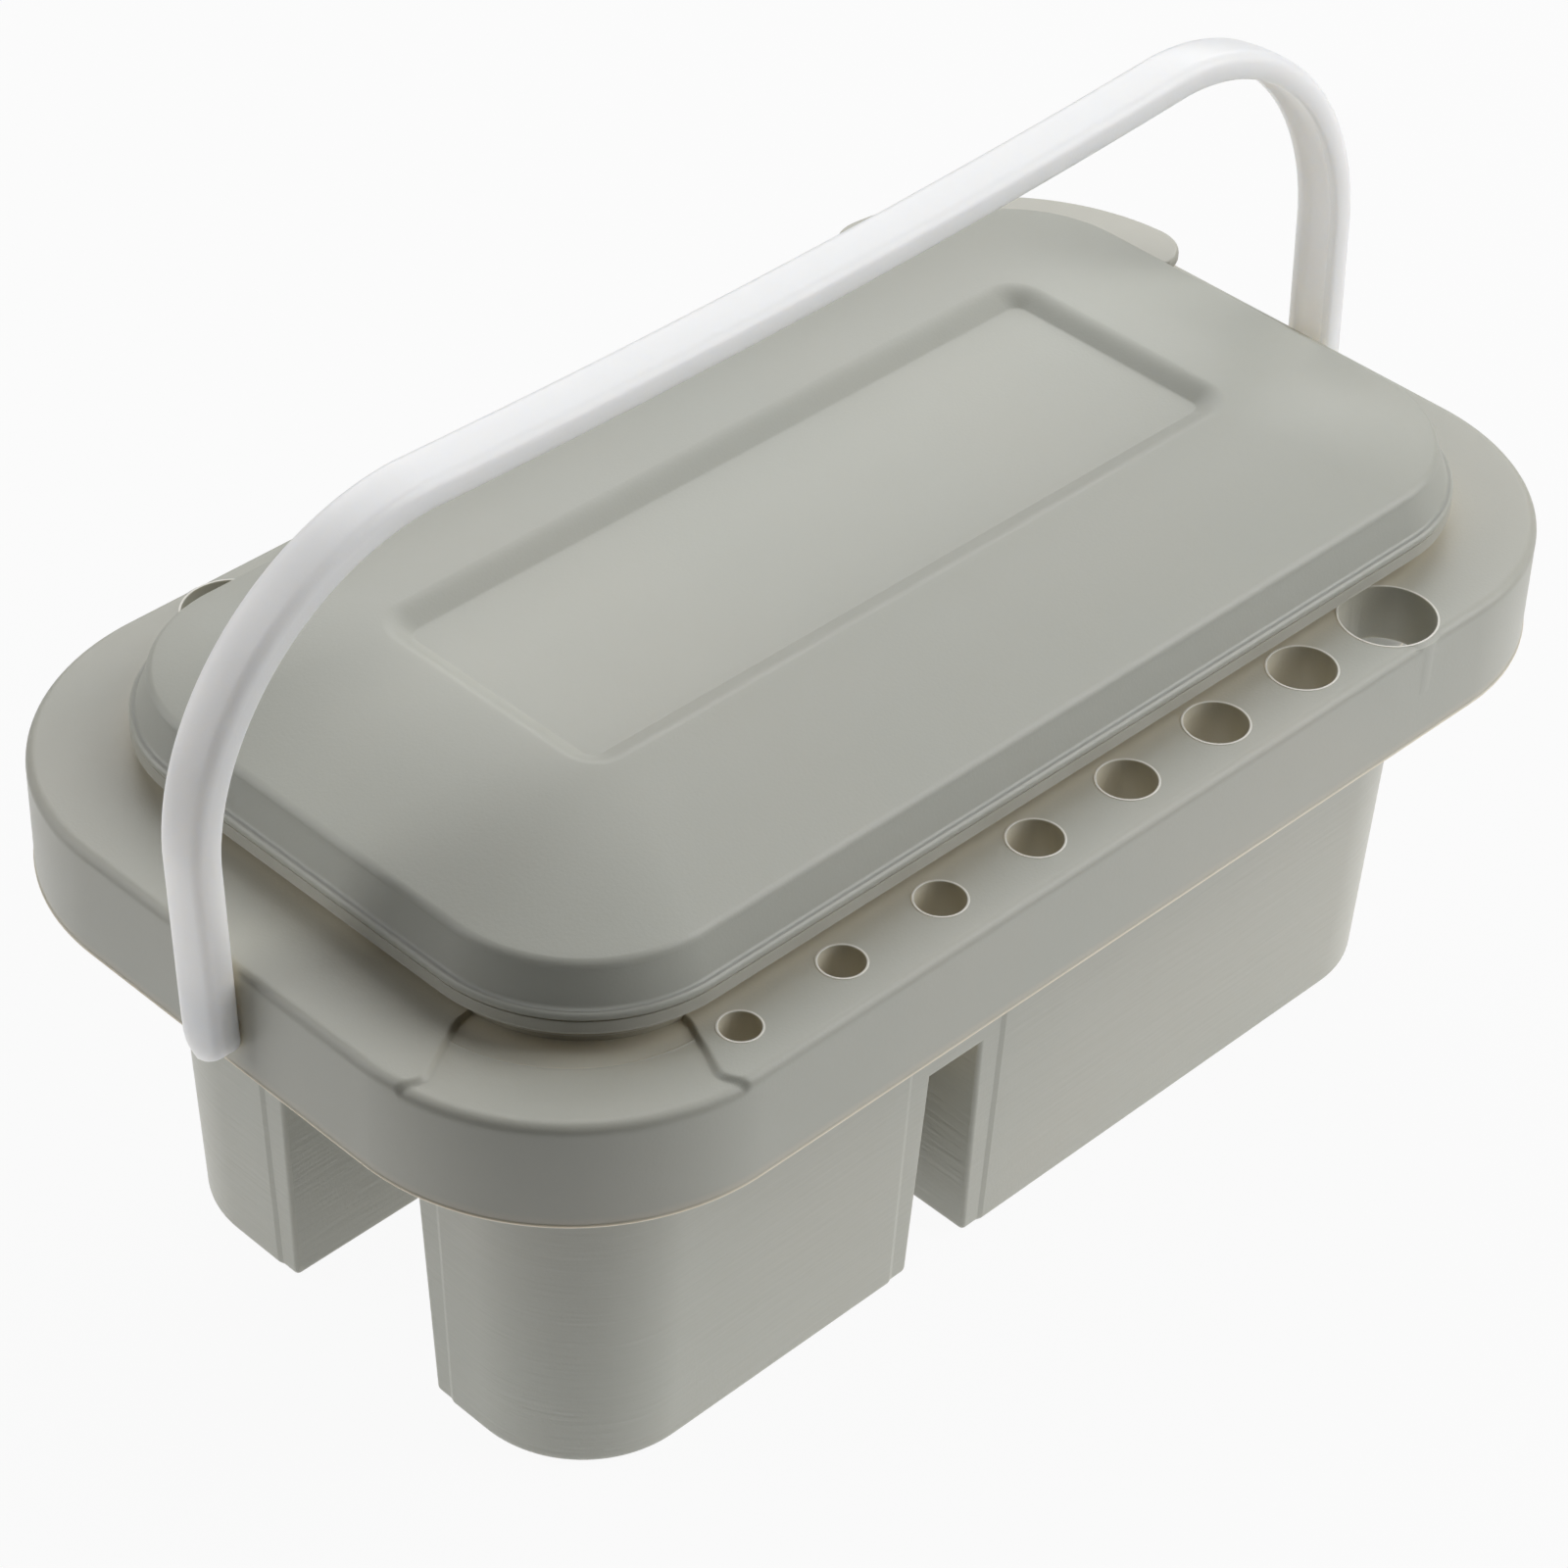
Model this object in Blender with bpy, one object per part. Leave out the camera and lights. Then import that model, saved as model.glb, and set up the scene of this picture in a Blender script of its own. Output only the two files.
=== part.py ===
# Brush washer: a one-piece bucket with three compartments under an oblong rim,
# a palette tray that drops into its mouth, a lid over the tray and a bail handle.
# X runs along the rim from left to right, Y from front to back, Z up.
# The origin is on the table, under the middle of the rim.
import math

import bmesh
import bpy
from mathutils import Matrix, Vector

MM = 0.001

# Rim: the flat deck round the mouth and the skirt that hangs from it
rim_length = 260.0 * MM
rim_width = 152.6 * MM
rim_corner = 43.5 * MM
rim_fillet = 1.8 * MM
deck_height = 98.9 * MM
deck_thickness = 1.8 * MM
skirt_depth = 21.6 * MM
skirt_wall = 1.8 * MM

# Tub: one tapered vessel, split into three compartments below the gap roof
deck_end_width = 19.4 * MM
deck_side_width = 16.9 * MM
tub_corner_step = 16.8 * MM
tub_wall = 1.6 * MM
tub_draft_share = 0.045
coaming_height = 3.4 * MM
foot_fillet = 2.5 * MM
floor_thickness = 2.0 * MM
gap_roof_height = 47.5 * MM
gap_roof_thickness = 1.6 * MM
gap_draft_share = 0.023
gap_corner = 2.6 * MM
cross_gap = 14.2 * MM
long_gap = 36.3 * MM
small_compartment_length = 78.2 * MM
front_compartment_width = 35.1 * MM
ledge = 0.3 * MM
strip_width = 5.8 * MM
strip_depth = 0.45 * MM

# Brush holes: a row at the front and the same row turned half round at the back
brush_holes = 8
first_hole_inset = 47.6 * MM
last_hole_inset = 58.0 * MM
hole_row_inset = 10.0 * MM
largest_hole_inset = 10.6 * MM
smallest_hole = 6.8 * MM
hole_growth = 0.85 * MM
largest_hole = 17.6 * MM
tube_depth = 14.0 * MM
tube_wall = 1.2 * MM
hole_lip = 0.45 * MM

# Finger recesses: shallow steps in the deck at two opposite corners
recess_depth = 1.0 * MM
recess_start_angle = math.radians(6.5)
recess_end_angle = math.radians(87.5)
recess_lean_angle = math.radians(7.0)

# Palette tray
tray_overhang = 2.8 * MM
tray_flange = 2.4 * MM
tray_wall = 1.4 * MM
tray_clearance = 0.7 * MM
tray_depth = 14.0 * MM
tray_draft_share = 0.08
tray_bead_height = 2.6 * MM
tray_rib = 1.4 * MM
tray_rib_height = 7.0 * MM
well_row_width = 30.0 * MM
paint_wells = 5
mixing_fields = 3
tab_reach = 15.5 * MM
tab_thickness = 2.1 * MM
tab_edge = 0.5 * MM
tab_tip_radius = 8.0 * MM
tab_start_angle = math.radians(4.0)
tab_end_angle = math.radians(86.0)

# Lid
lid_flange = 1.4 * MM
lid_ledge = 1.1 * MM
lid_wall_rise = 7.6 * MM
lid_wall_lean = 2.2 * MM
lid_edge_fillet = 1.6 * MM
lid_skin = 1.5 * MM
dome_rise = 7.4 * MM
panel_length = 143.6 * MM
panel_width = 43.4 * MM
panel_corner = 2.2 * MM
panel_slope = 3.5 * MM
panel_depth = 2.9 * MM
lid_clearance = 0.6 * MM

# Bail handle, which turns on studs in the two ends of the skirt
pivot_drop = 15.3 * MM
bail_reach = 84.4 * MM
bail_corner = 46.4 * MM
bail_sag = 2.2 * MM
bail_width = 9.2 * MM
bail_thickness = 4.3 * MM
bail_edge = 1.3 * MM
bail_channel_width = 5.0 * MM
bail_channel_depth = 1.4 * MM
bail_lean_share = 0.041
bail_tilt_angle = math.radians(1.8)
bail_twist_angle = math.radians(2.1)
ear_radius = 5.5 * MM
ear_gap = 0.4 * MM
stud_radius = 2.9 * MM
stud_head_radius = 3.9 * MM
stud_head_length = 1.6 * MM

# Gaps between neighbours, and how far a cutter runs past what it cuts
seat_gap = 0.3 * MM
turning_gap = 0.3 * MM
overrun = 5.0 * MM

# Facets: a quarter turn of a corner, a fillet or a tab's tip, a full turn of a hole,
# a shoulder of the handle, half of its bar, and the slope of the lid's dome
corner_steps = 10
fillet_steps = 3
tip_steps = 6
round_steps = 24
bend_steps = 12
bar_steps = 6
dome_steps = 8

# Places and sizes that follow from the sizes above
tub_length = rim_length - 2 * deck_end_width
tub_width = rim_width - 2 * deck_side_width
tub_corner = rim_corner - tub_corner_step
rim_x = rim_length / 2
rim_y = rim_width / 2
skirt_bottom = deck_height - skirt_depth
tub_top = deck_height + coaming_height
pivot_height = deck_height - pivot_drop
tray_seat = tub_top + seat_gap
tray_top = tray_seat + tray_flange
lid_seat = tray_top + seat_gap
lid_flange_top = lid_seat + lid_flange
lid_edge_height = lid_flange_top + lid_wall_rise
lid_top = lid_edge_height + dome_rise

for old in list(bpy.data.objects):
    bpy.data.objects.remove(old, do_unlink=True)

parts = bpy.data.collections.new("brush_washer")
cutters = bpy.data.collections.new("brush_washer_cutters")
for group in (parts, cutters):
    bpy.context.scene.collection.children.link(group)


def material(name, color, roughness):
    """A moulded plastic finish."""
    finish = bpy.data.materials.new(name)
    finish.use_nodes = True
    shader = finish.node_tree.nodes["Principled BSDF"]
    shader.inputs["Base Color"].default_value = (*color, 1.0)
    shader.inputs["Roughness"].default_value = roughness
    shader.inputs["Metallic"].default_value = 0.0
    return finish


def add_object(name, mesh, group):
    """Put a mesh into the scene, as a piece or as a hidden cutter."""
    thing = bpy.data.objects.new(name, mesh)
    group.objects.link(thing)
    if group is cutters:
        thing.hide_render = True
        thing.display_type = "WIRE"
    return thing


def combine(target, tool, operation):
    """Join a tool to the target, or cut it away."""
    change = target.modifiers.new(tool.name, "BOOLEAN")
    change.object = tool
    change.operation = operation
    change.solver = "EXACT"


def oblong(half_x, half_y, radii, height, centre=(0.0, 0.0), steps=corner_steps):
    """Ring of points round a rectangle with its own radius at each corner.

    The corners come in the order back right, back left, front left, front right.
    """
    signs = ((1, 1), (-1, 1), (-1, -1), (1, -1))
    limit = 2 * min(half_x, half_y) - gap_corner
    ring = []
    for index, (side_x, side_y) in enumerate(signs):
        radius = min(radii[index], limit)
        middle_x = centre[0] + side_x * (half_x - radius)
        middle_y = centre[1] + side_y * (half_y - radius)
        for step in range(steps + 1):
            angle = math.pi / 2 * (index + step / steps)
            ring.append(Vector((
                middle_x + radius * math.cos(angle),
                middle_y + radius * math.sin(angle),
                height,
            )))
    return ring


def even_oblong(half_x, half_y, radius, height):
    """Oblong ring with four equal corners round the origin."""
    return oblong(half_x, half_y, (radius,) * 4, height)


def loft(name, rings, group):
    """Closed solid whose skin runs through rings with equally many points."""
    skin = bmesh.new()
    rows = []
    for ring in rings:
        rows.append([skin.verts.new(point) for point in ring])
    for lower, upper in zip(rows, rows[1:]):
        for index, corner in enumerate(lower):
            following = (index + 1) % len(lower)
            skin.faces.new((corner, lower[following], upper[following], upper[index]))
    skin.faces.new(list(reversed(rows[0])))
    skin.faces.new(rows[-1])
    bmesh.ops.remove_doubles(skin, verts=skin.verts, dist=turning_gap / 1000)
    bmesh.ops.recalc_face_normals(skin, faces=skin.faces)
    mesh = bpy.data.meshes.new(name)
    skin.to_mesh(mesh)
    skin.free()
    return add_object(name, mesh, group)


def disc_stack(name, rows, place, group, across=False):
    """Turned solid from (radius, height) rows, upright or lying along X."""
    rings = []
    for radius, height in rows:
        ring = []
        for step in range(round_steps):
            angle = 2 * math.pi * step / round_steps
            side = (radius * math.cos(angle), radius * math.sin(angle))
            if across:
                ring.append(Vector((height, side[0], side[1])) + place)
            else:
                ring.append(Vector((side[0], side[1], height)) + place)
        rings.append(ring)
    return loft(name, rings, group)


def prism(name, outline, bottom, top, group):
    """Upright solid over a flat outline."""
    rings = [[Vector((x, y, height)) for x, y in outline] for height in (bottom, top)]
    return loft(name, rings, group)


def tub_ring(height, inset):
    """Section of the tub at a height, moved in from its outer face."""
    shrink = tub_draft_share * (tub_top - height) + inset
    return even_oblong(tub_length / 2 - shrink, tub_width / 2 - shrink, tub_corner - shrink, height)


def gap_corner_place():
    """Where the cross gap and the long gap start, at the table."""
    foot = tub_draft_share * tub_top
    gap_left = -(tub_length / 2 - foot) + small_compartment_length
    gap_front = -(tub_width / 2 - foot) + front_compartment_width
    return gap_left, gap_front


def compartment_ring(column, row, height, inset):
    """Section of one compartment: outer walls follow the tub, inner ones the gaps."""
    shrink = tub_draft_share * (tub_top - height)
    left = -(tub_length / 2 - shrink)
    front = -(tub_width / 2 - shrink)
    gap_left, gap_front = gap_corner_place()
    closing = gap_draft_share * height
    if column == "right":
        span_x = (gap_left + cross_gap - closing, -left)
    else:
        span_x = (left, gap_left + closing)
    span_y = (front, -front)
    if row == "front":
        span_y = (front, gap_front + closing)
    if row == "back":
        span_y = (gap_front + long_gap - closing, -front)
    outer = tub_corner - shrink - inset
    inner = max(gap_corner - inset, gap_corner / 2)
    radii = {
        "right": (outer, inner, inner, outer),
        "front": (inner, inner, outer, inner),
        "back": (inner, outer, inner, inner),
    }[row or column]
    half_x = (span_x[1] - span_x[0]) / 2 - inset
    half_y = (span_y[1] - span_y[0]) / 2 - inset
    centre = ((span_x[0] + span_x[1]) / 2, (span_y[0] + span_y[1]) / 2)
    return oblong(half_x, half_y, radii, height, centre)


def compartment(name, column, row, floor, top, inset, group):
    """Tapered compartment with a rounded foot edge."""
    rings = []
    for step in range(fillet_steps + 1):
        angle = math.pi / 2 * step / fillet_steps
        rise = foot_fillet * (1 - math.cos(angle))
        tuck = foot_fillet * (1 - math.sin(angle))
        rings.append(compartment_ring(column, row, floor + rise, inset + tuck))
    rings.append(compartment_ring(column, row, top, inset))
    return loft(name, rings, group)


def hole_places():
    """Middle and radius of every brush hole, both rows."""
    start = -rim_x + first_hole_inset
    pitch = (rim_x - last_hole_inset - start) / (brush_holes - 1)
    for index in range(brush_holes):
        diameter = smallest_hole + hole_growth * index
        across = -rim_y + hole_row_inset
        if index == brush_holes - 1:
            diameter = largest_hole
            across = -rim_y + largest_hole_inset
        along = start + pitch * index
        yield "front", index + 1, along, across, diameter / 2
        yield "back", index + 1, -along, -across, diameter / 2


def recess_outline(turn):
    """Corner sector of the deck between the two leaning steps of a finger recess."""
    middle = Vector((rim_x - rim_corner, rim_y - rim_corner))
    far_start = recess_start_angle + recess_lean_angle
    far_end = recess_end_angle - recess_lean_angle
    outline = []
    for step in range(corner_steps + 1):
        angle = far_start + (far_end - far_start) * step / corner_steps
        outline.append(middle + (rim_corner + overrun) * Vector((math.cos(angle), math.sin(angle))))
    for step in range(corner_steps + 1):
        angle = recess_end_angle + (recess_start_angle - recess_end_angle) * step / corner_steps
        outline.append(middle + (tub_corner - overrun) * Vector((math.cos(angle), math.sin(angle))))
    return [(turn * point.x, turn * point.y) for point in outline]


def cut_strips(bucket):
    """Set the tub's walls back by a hair beside and above the gaps."""
    gap_left, gap_front = gap_corner_place()
    low_x = gap_left - strip_width
    high_x = gap_left + cross_gap + strip_width
    low_y = gap_front - strip_width
    high_y = gap_front + long_gap + strip_width
    for side, name in ((-1, "front"), (1, "back"), (0, "left")):
        rings = []
        for height in (-overrun, deck_height - deck_thickness - ledge):
            shrink = tub_draft_share * (tub_top - height) + strip_depth
            near_y = side * (tub_width / 2 - shrink)
            far_y = side * (tub_width / 2 + overrun)
            near_x = -(tub_length / 2 - shrink)
            far_x = -(tub_length / 2 + overrun)
            ring = ((low_x, near_y), (high_x, near_y), (high_x, far_y), (low_x, far_y))
            if side == 0:
                ring = ((near_x, low_y), (near_x, high_y), (far_x, high_y), (far_x, low_y))
            rings.append([Vector((x, y, height)) for x, y in ring])
        combine(bucket, loft(f"{name}_strip", rings, cutters), "DIFFERENCE")


def build_bucket(finish):
    """Rim, skirt and tub, moulded as one piece."""
    rings = [even_oblong(rim_x, rim_y, rim_corner, skirt_bottom)]
    for step in range(fillet_steps + 1):
        angle = math.pi / 2 * step / fillet_steps
        tuck = rim_fillet * (1 - math.cos(angle))
        height = deck_height - rim_fillet * (1 - math.sin(angle))
        rings.append(even_oblong(rim_x - tuck, rim_y - tuck, rim_corner - tuck, height))
    bucket = loft("bucket", rings, parts)

    under = [
        even_oblong(rim_x - skirt_wall, rim_y - skirt_wall, rim_corner - skirt_wall, height)
        for height in (skirt_bottom - overrun, deck_height - deck_thickness)
    ]
    combine(bucket, loft("under_deck", under, cutters), "DIFFERENCE")

    for turn in (1, -1):
        outline = recess_outline(turn)
        tool = prism(f"finger_recess_{turn + 2}", outline, deck_height - recess_depth,
                     deck_height + overrun, cutters)
        combine(bucket, tool, "DIFFERENCE")

    holes = list(hole_places())
    tube_bottom = deck_height - tube_depth
    for row, number, along, across, radius in holes:
        place = Vector((along, across, 0.0))
        outer = radius + tube_wall
        rows = ((outer, tube_bottom), (outer, deck_height - deck_thickness / 2))
        combine(bucket, disc_stack(f"tube_{row}_{number}", rows, place, cutters), "UNION")
    for row, number, along, across, radius in holes:
        place = Vector((along, across, 0.0))
        rows = (
            (radius, tube_bottom - overrun),
            (radius, deck_height - hole_lip),
            (radius + hole_lip, deck_height),
            (radius + hole_lip, deck_height + overrun),
        )
        combine(bucket, disc_stack(f"bore_{row}_{number}", rows, place, cutters), "DIFFERENCE")

    upper = [tub_ring(gap_roof_height, 0.0), tub_ring(tub_top, 0.0)]
    combine(bucket, loft("upper_tub", upper, cutters), "UNION")
    spaces = (("large", "right", ""), ("front_small", "left", "front"), ("back_small", "left", "back"))
    for name, column, row in spaces:
        body = compartment(f"{name}_body", column, row, 0.0, gap_roof_height, 0.0, cutters)
        combine(bucket, body, "UNION")
    cut_strips(bucket)

    ridge = gap_roof_height + gap_roof_thickness
    mouth = [tub_ring(ridge, tub_wall), tub_ring(tub_top + overrun, tub_wall)]
    combine(bucket, loft("mouth", mouth, cutters), "DIFFERENCE")
    for name, column, row in spaces:
        hollow = compartment(f"{name}_hollow", column, row, floor_thickness, ridge + ledge,
                             tub_wall + ledge, cutters)
        combine(bucket, hollow, "DIFFERENCE")

    for side, name in ((-1, "left"), (1, "right")):
        radius = stud_radius + turning_gap
        rows = ((radius, rim_x - skirt_wall - overrun), (radius, rim_x + overrun))
        place = Vector((0.0, 0.0, pivot_height))
        tool = disc_stack(f"pivot_hole_{name}", [(r, side * x) for r, x in rows], place,
                          cutters, across=True)
        combine(bucket, tool, "DIFFERENCE")
    bucket.data.materials.append(finish)
    return bucket


def flange_ring(inset, height):
    """Ring that follows the flange of the tray and of the lid."""
    half_x = tub_length / 2 + tray_overhang - inset
    half_y = tub_width / 2 + tray_overhang - inset
    return even_oblong(half_x, half_y, tub_corner + tray_overhang - inset, height)


def tab_ring(inset, height):
    """Crescent that lifts the tray, round the flange's back right corner."""
    corner = tub_corner + tray_overhang
    middle = Vector((tub_length / 2 + tray_overhang - corner, tub_width / 2 + tray_overhang - corner))
    reach = corner + tab_reach - inset
    tip = tab_tip_radius - inset

    def around(centre, radius, first, last, steps):
        points = []
        for step in range(steps + 1):
            angle = first + (last - first) * step / steps
            points.append(centre + radius * Vector((math.cos(angle), math.sin(angle))))
        return points

    def tip_arc(tip_angle, first, last):
        direction = Vector((math.cos(tip_angle), math.sin(tip_angle)))
        return around(middle + (reach - tip) * direction, tip, first, last, tip_steps)

    quarter = math.pi / 2
    end_tip = tip_arc(tab_end_angle, tab_end_angle, tab_end_angle + quarter)
    start_tip = tip_arc(tab_start_angle, tab_start_angle - quarter, tab_start_angle)
    outline = around(middle, reach, tab_start_angle, tab_end_angle, corner_steps)
    outline += end_tip[1:]
    outline += around(middle, corner - tray_overhang, quarter, 0.0, corner_steps)
    outline += start_tip[:-1]
    return [Vector((point.x, point.y, height)) for point in outline]


def build_tray(finish):
    """Palette tray: flange, walls, floor, dividing ribs and the lifting tab."""
    wall_inset = tray_overhang + tub_wall + tray_clearance
    bead_inset = lid_ledge + lid_skin + lid_clearance
    bead_top = bead_inset + lid_wall_lean * tray_bead_height / (lid_wall_rise - lid_edge_fillet)
    tuck = tray_draft_share * tray_depth
    floor = tray_seat - tray_depth
    rings = [
        flange_ring(wall_inset + tuck, floor),
        flange_ring(wall_inset, tray_seat),
        flange_ring(0.0, tray_seat),
        flange_ring(0.0, tray_top),
        flange_ring(bead_inset, tray_top),
        flange_ring(bead_top, tray_top + tray_bead_height),
        flange_ring(bead_top + tray_wall, tray_top + tray_bead_height),
        flange_ring(wall_inset + tray_wall, tray_seat),
        flange_ring(wall_inset + tuck + tray_wall, floor + tray_wall),
    ]
    tray = loft("palette_tray", rings, parts)
    tab = [
        tab_ring(tab_edge, tray_top - tab_thickness),
        tab_ring(0.0, tray_top - tab_thickness + tab_edge),
        tab_ring(0.0, tray_top - tab_edge),
        tab_ring(tab_edge, tray_top),
    ]
    combine(tray, loft("lifting_tab", tab, cutters), "UNION")

    inner_x = tub_length / 2 - tub_wall - tray_clearance - tray_wall
    inner_y = tub_width / 2 - tub_wall - tray_clearance - tray_wall
    divide = inner_y - tuck - well_row_width
    rib_bottom = floor + tray_wall / 2
    rib_top = floor + tray_wall + tray_rib_height

    def rib(name, low_x, high_x, low_y, high_y):
        outline = ((low_x, low_y), (high_x, low_y), (high_x, high_y), (low_x, high_y))
        combine(tray, prism(name, outline, rib_bottom, rib_top, cutters), "UNION")

    end_x = inner_x - tuck + tray_wall / 2
    end_y = inner_y - tuck + tray_wall / 2
    half_rib = tray_rib / 2
    rib("long_rib", -end_x, end_x, divide - half_rib, divide + half_rib)
    for index in range(1, paint_wells):
        place = -end_x + 2 * end_x * index / paint_wells
        rib(f"well_rib_{index}", place - half_rib, place + half_rib, divide, end_y)
    for index in range(1, mixing_fields):
        place = -end_x + 2 * end_x * index / mixing_fields
        rib(f"field_rib_{index}", place - half_rib, place + half_rib, -end_y, divide)
    tray.data.materials.append(finish)
    return tray


def lid_profile(drop):
    """Rings of the lid's skin from the wall's foot to the panel's floor.

    The rings lie below the outer skin by the given drop, and inside it by as much.
    """
    start_x = tub_length / 2 + tray_overhang - lid_ledge
    start_y = tub_width / 2 + tray_overhang - lid_ledge
    start_corner = tub_corner + tray_overhang - lid_ledge
    border_x = panel_length / 2 + panel_slope
    border_y = panel_width / 2 + panel_slope
    border_corner = panel_corner + panel_slope
    edge = lid_edge_fillet
    rings = [even_oblong(start_x - drop, start_y - drop, start_corner - drop, lid_flange_top - drop)]
    wall = lid_wall_lean
    for step in range(fillet_steps):
        angle = math.pi / 2 * step / fillet_steps
        tuck = wall + edge * (1 - math.cos(angle)) + drop
        height = lid_edge_height - edge * (1 - math.sin(angle)) - drop
        rings.append(even_oblong(start_x - tuck, start_y - tuck, start_corner - tuck, height))
    crease = wall + edge + drop
    for step in range(dome_steps + 1):
        share = step / dome_steps
        half_x = (start_x - crease) * (1 - share) + (border_x - drop) * share
        half_y = (start_y - crease) * (1 - share) + (border_y - drop) * share
        corner = (start_corner - crease) * (1 - share) + max(border_corner - drop, panel_corner) * share
        height = lid_edge_height + dome_rise * math.sin(share * math.pi / 2) - drop
        rings.append(even_oblong(half_x, half_y, corner, height))
    rings.append(even_oblong(panel_length / 2 - drop, panel_width / 2 - drop, panel_corner,
                             lid_top - panel_depth - drop))
    return rings


def build_lid(finish):
    """Domed lid with a sunk panel, open below so that it drops over the tray's bead."""
    rings = list(reversed(lid_profile(0.0)))
    rings.append(flange_ring(0.0, lid_flange_top))
    rings.append(flange_ring(0.0, lid_seat))
    rings.append(flange_ring(lid_ledge + lid_skin, lid_seat))
    rings += lid_profile(lid_skin)
    lid = loft("lid", rings, parts)
    lid.data.materials.append(finish)
    return lid


def bail_path():
    """Half of the handle's middle line as (out from the middle, up from the pivot)."""
    foot = rim_x + ear_gap + bail_thickness / 2
    bend = bail_reach - bail_corner
    shoulder = foot + bail_lean_share * bend
    points = [(foot, 0.0), ((foot + shoulder) / 2, bend / 2)]
    for step in range(bend_steps + 1):
        angle = math.pi / 2 * step / bend_steps
        points.append((
            shoulder - bail_corner + bail_corner * math.cos(angle),
            bend + bail_corner * math.sin(angle),
        ))
    run = shoulder - bail_corner
    for step in range(1, bar_steps + 1):
        share = 1 - step / bar_steps
        points.append((run * share, bail_reach - bail_sag * (1 - share * share)))
    return points


def bail_section():
    """Band section as (outwards, across) points: rounded outside, channelled inside."""
    half = bail_width / 2
    face = bail_thickness / 2
    channel = bail_channel_width / 2
    right = [
        (face, half - 2 * bail_edge),
        (face - bail_edge / 2, half - bail_edge / 2),
        (face - 2 * bail_edge, half),
        (-face, half),
        (-face, channel),
        (-face + bail_channel_depth, channel),
    ]
    left = [(out, -across) for out, across in reversed(right)]
    return right + left


def build_handle(finish):
    """Bail with a stud at each foot, leaning a little back and slightly twisted."""
    half_path = bail_path()
    path = [(-x, up) for x, up in half_path] + [(x, up) for x, up in reversed(half_path[:-1])]
    section = bail_section()
    rings = []
    for index, (x, up) in enumerate(path):
        before = Vector(path[max(index - 1, 0)])
        after = Vector(path[min(index + 1, len(path) - 1)])
        along = (after - before).normalized()
        outward = Vector((-along.y, along.x))
        ring = []
        for out, across in section:
            point = Vector((x + out * outward.x, across, up + out * outward.y))
            lean = Matrix.Rotation(-bail_tilt_angle - bail_twist_angle * x / rim_x, 3, "X")
            ring.append(lean @ point)
        rings.append(ring)
    handle = loft("handle", rings, parts)
    handle.location = (0.0, 0.0, pivot_height)

    face = rim_x + ear_gap
    for side, name in ((-1, "left"), (1, "right")):
        rows = ((ear_radius, face), (ear_radius, face + bail_thickness))
        ear = [(radius, side * x) for radius, x in rows]
        combine(handle, disc_stack(f"ear_{name}", ear, Vector((0.0, 0.0, pivot_height)),
                                   cutters, across=True), "UNION")
        head_face = rim_x - skirt_wall - turning_gap
        rows = (
            (stud_radius, face + bail_thickness / 2),
            (stud_radius, head_face),
            (stud_head_radius, head_face),
            (stud_radius, head_face - stud_head_length),
        )
        stud = [(radius, side * x) for radius, x in rows]
        combine(handle, disc_stack(f"stud_{name}", stud, Vector((0.0, 0.0, pivot_height)),
                                   cutters, across=True), "UNION")
    handle.data.materials.append(finish)
    return handle


grey = material("grey_plastic", (0.45, 0.45, 0.41), 0.45)
tray_grey = material("tray_plastic", (0.47, 0.46, 0.41), 0.42)
white = material("white_plastic", (0.82, 0.82, 0.83), 0.35)
build_bucket(grey)
build_tray(tray_grey)
build_lid(grey)
build_handle(white)
for piece in parts.objects:
    piece.data.shade_smooth()
    piece.data.set_sharp_from_angle(angle=math.radians(30.0))
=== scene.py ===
# %% [markdown]
# # A brush washer with a lid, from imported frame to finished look
# The frame is the plain model that the physics uses: a bucket, a palette tray,
# a lid and a bail handle, each a coarse closed solid that already turns or
# slides on its joint. This script puts a finer mesh over each of the four and
# gives it the look of satin moulded plastic.
#
# Every piece follows the same idea. A moulded part is a stack of level outlines,
# so it can be drawn as rings that are skinned one to the next. Fillets are just
# a few more rings. What the mould's pins and cores make, such as a hole, is
# then added or cut away with a Boolean.

import math

import bmesh
import bpy
from mathutils import Matrix, Vector


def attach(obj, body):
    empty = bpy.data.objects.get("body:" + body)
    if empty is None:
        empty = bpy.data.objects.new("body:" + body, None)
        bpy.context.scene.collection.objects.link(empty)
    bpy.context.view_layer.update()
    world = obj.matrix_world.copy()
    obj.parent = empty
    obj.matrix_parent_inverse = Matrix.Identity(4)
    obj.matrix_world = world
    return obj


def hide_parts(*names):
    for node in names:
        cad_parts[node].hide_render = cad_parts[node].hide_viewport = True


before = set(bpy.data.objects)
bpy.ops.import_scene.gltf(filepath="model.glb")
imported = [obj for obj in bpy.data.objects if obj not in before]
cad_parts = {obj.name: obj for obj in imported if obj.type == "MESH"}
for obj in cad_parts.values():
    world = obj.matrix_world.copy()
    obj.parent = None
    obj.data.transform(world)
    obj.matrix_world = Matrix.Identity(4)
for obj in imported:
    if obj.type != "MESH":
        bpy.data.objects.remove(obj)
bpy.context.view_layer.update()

# %% [markdown]
# ## Sizes
# All lengths are in millimetres, which suit a thing of this size, and are
# turned into metres once, when a mesh is made. X runs along the rim, Y from the
# front to the back, and Z upwards from the table. The main ones are the frame's
# own sizes, so the finer meshes lie closely over the coarse ones.

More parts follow.
